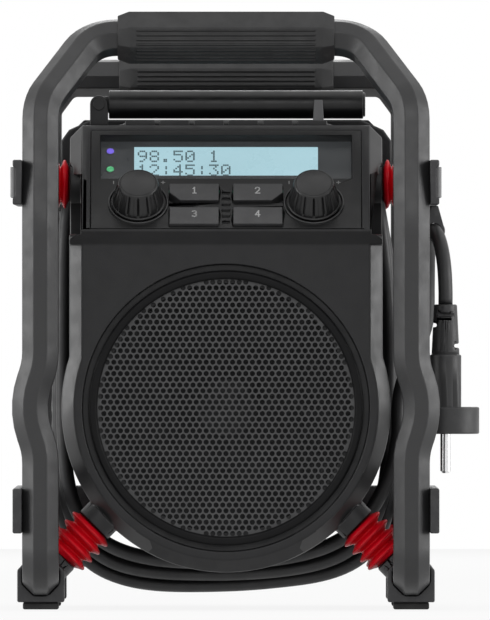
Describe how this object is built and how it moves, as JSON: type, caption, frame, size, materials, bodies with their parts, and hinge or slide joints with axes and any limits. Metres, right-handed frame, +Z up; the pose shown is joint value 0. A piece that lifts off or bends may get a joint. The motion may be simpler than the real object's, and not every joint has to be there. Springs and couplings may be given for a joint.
{
  "type": "jobsite radio",
  "caption": "Rugged jobsite radio: a black radio body with a round speaker, hung on red rubber bellows inside a bent octagonal tube cage, with its mains cord wound around it.",
  "frame": {"origin": "centre of the bottom of the cage's foot pads, cord and plug left out", "axes": "+Z up, the speaker's face looks along -Y, +X to the radio's own right-hand side as seen from the front"},
  "size_m": [0.2274, 0.1898, 0.2903],
  "materials": {
    "cage_paint": "satin powder coat",
    "grip_rubber": "moulded, satin",
    "frame_plastic": "moulded",
    "cap_plastic": "moulded",
    "pad_rubber": "matte",
    "bolt_steel": "blackened",
    "red_rubber": "satin red",
    "housing_plastic": "fine grain",
    "panel_plastic": "fine grain",
    "button_plastic": "satin",
    "knob_plastic": "satin",
    "clear_window": "clear plastic",
    "lcd": "lit display",
    "led_clear": "lit lenses",
    "board": "circuit board",
    "grille_metal": "perforated sheet, satin",
    "ring_plastic": "satin",
    "basket_metal": "pressed steel",
    "cone_paper": "coated paper",
    "magnet": "ferrite and steel",
    "winding_copper": "wound core",
    "tray_plastic": "moulded",
    "cell_jacket": "printed jacket",
    "shaft_steel": "turned",
    "antenna_plastic": "satin sleeve",
    "clip_plastic": "satin",
    "cord_rubber": "matte cord sheath",
    "pin_chrome": "nickel plated"
  },
  "bodies": {
    "cage": {"front_hoop": "cage_paint", "rear_hoop": "cage_paint", "front_grip": "grip_rubber", "rear_grip": "grip_rubber", "upper_plate_left": "frame_plastic", "upper_plate_right": "frame_plastic", "plate_caps": "cap_plastic", "lower_plate_left": "frame_plastic", "lower_plate_right": "frame_plastic", "rear_crossbar": "frame_plastic", "foot_front_left": "frame_plastic", "foot_front_right": "frame_plastic", "foot_rear_left": "frame_plastic", "foot_rear_right": "frame_plastic", "foot_pads": "pad_rubber", "frame_bolts": "bolt_steel", "lower_bellows": "red_rubber", "upper_bellows": "red_rubber", "cord_clip": "frame_plastic", "cord_tail": "cord_rubber", "plug_body": "cord_rubber", "plug_pins": "pin_chrome"},
    "radio": {"front_housing": "housing_plastic", "rear_housing": "housing_plastic", "rear_cover": "housing_plastic", "housing_seal": "pad_rubber", "control_panel": "panel_plastic", "display_window": "clear_window", "lcd_module": "lcd", "led_lenses": "led_clear", "display_board": "board", "main_board": "board", "speaker_grille": "grille_metal", "grille_ring": "ring_plastic", "speaker_basket": "basket_metal", "speaker_cone": "cone_paper", "speaker_magnet": "magnet", "transformer": "winding_copper", "battery_tray": "tray_plastic", "battery_cells": "cell_jacket", "antenna_base": "antenna_plastic", "antenna_pin": "shaft_steel", "antenna_clip": "clip_plastic", "housing_screws": "bolt_steel", "cord_gland": "pad_rubber", "cord_lead": "cord_rubber", "cord_winding": "cord_rubber"},
    "knob_left": {"knob_left": "knob_plastic", "shaft_left": "shaft_steel"},
    "knob_right": {"knob_right": "knob_plastic", "shaft_right": "shaft_steel"},
    "button_1": {"button_1": "button_plastic"},
    "button_2": {"button_2": "button_plastic"},
    "button_3": {"button_3": "button_plastic"},
    "button_4": {"button_4": "button_plastic"},
    "battery_door": {"battery_door": "housing_plastic"},
    "door_screw": {"door_screw": "bolt_steel"},
    "port_cover": {"port_cover": "pad_rubber"},
    "antenna": {"antenna_barrel": "antenna_plastic"}
  },
  "joints": [
    {"name": "suspension", "type": "slide", "parent": "cage", "child": "radio", "axis": [0, 0, 1], "range_m": [-0.003, 0.003], "stiffness_N_per_m": 40000, "springref_m": 0.00065, "deforming": ["lower_bellows", "upper_bellows", "cord_tail"]},
    {"name": "knob_left_turn", "type": "hinge", "parent": "radio", "child": "knob_left", "pos_m": [-0.0426, -0.067, 0.197], "axis": [0, -0.7071, 0.7071], "continuous": true},
    {"name": "knob_right_turn", "type": "hinge", "parent": "radio", "child": "knob_right", "pos_m": [0.0426, -0.067, 0.197], "axis": [0, -0.7071, 0.7071], "continuous": true},
    {"name": "button_1_press", "type": "slide", "parent": "radio", "child": "button_1", "axis": [0, 0.7071, -0.7071], "range_m": [0, 0.001], "stiffness_N_per_m": 800},
    {"name": "button_2_press", "type": "slide", "parent": "radio", "child": "button_2", "axis": [0, 0.7071, -0.7071], "range_m": [0, 0.001], "stiffness_N_per_m": 800},
    {"name": "button_3_press", "type": "slide", "parent": "radio", "child": "button_3", "axis": [0, 0.7071, -0.7071], "range_m": [0, 0.001], "stiffness_N_per_m": 800},
    {"name": "button_4_press", "type": "slide", "parent": "radio", "child": "button_4", "axis": [0, 0.7071, -0.7071], "range_m": [0, 0.001], "stiffness_N_per_m": 800},
    {"name": "battery_door_open", "type": "hinge", "parent": "radio", "child": "battery_door", "pos_m": [-0.0595, 0.0725, 0.1345], "axis": [0, 0, 1], "range_deg": [0, 100]},
    {"name": "door_screw_turn", "type": "hinge", "parent": "battery_door", "child": "door_screw", "pos_m": [0.05, 0.074, 0.18485], "axis": [0, 1, 0], "range_deg": [0, 90]},
    {"name": "port_cover_open", "type": "hinge", "parent": "radio", "child": "port_cover", "pos_m": [0.034, 0.0729, 0.2129], "axis": [1, 0, 0], "range_deg": [0, 100], "stiffness_Nm_per_rad": 0.003},
    {"name": "antenna_fold", "type": "hinge", "parent": "radio", "child": "antenna", "pos_m": [-0.062, -0.008, 0.2455], "axis": [0, -1, 0], "range_deg": [0, 90]}
  ]
}
